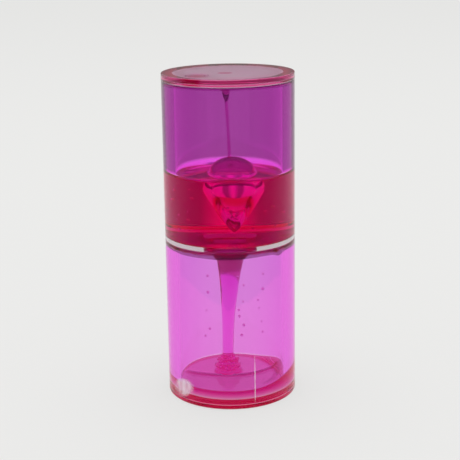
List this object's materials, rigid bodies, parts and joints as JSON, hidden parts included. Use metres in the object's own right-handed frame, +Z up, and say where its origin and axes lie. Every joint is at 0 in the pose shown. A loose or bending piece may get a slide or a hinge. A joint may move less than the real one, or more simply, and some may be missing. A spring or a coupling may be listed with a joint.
{
  "type": "sensory tube",
  "caption": "Sealed clear tube in two chambers; coloured ooze runs down through a hole in the divider as air rises.",
  "frame": {"origin": "centre of the base, on the surface that the tube stands on", "axes": "+Z up the tube's axis from the base to the cap with the filler plug, -Y towards the viewer, +X to the viewer's right"},
  "size_m": [0.06, 0.06, 0.15],
  "materials": {
    "clear_acrylic": "polished, clear",
    "plug_acrylic": "polished, pink",
    "cement": "clear cement stained by the ooze",
    "magenta_ooze": "clear magenta liquid, wet gloss",
    "ooze_film": "thin clear magenta film, wet gloss"
  },
  "bodies": {
    "root": {"top_cap": "clear_acrylic", "filler_plug": "plug_acrylic", "base_cap": "clear_acrylic", "lower_tube": "clear_acrylic", "upper_tube": "clear_acrylic", "divider_disc": "clear_acrylic", "base_cement_ring": "cement", "divider_lower_cement_ring": "cement", "divider_upper_cement_ring": "cement", "cap_cement_ring": "cement", "upper_ooze_pool": "magenta_ooze", "bubble_dome": "magenta_ooze", "hanging_thread": "magenta_ooze", "ooze_stream": "magenta_ooze", "landing_mound": "magenta_ooze", "lower_ooze_pool": "magenta_ooze", "upper_wall_film": "ooze_film", "lower_wall_film": "ooze_film", "divider_drip_ring": "ooze_film"}
  },
  "joints": []
}
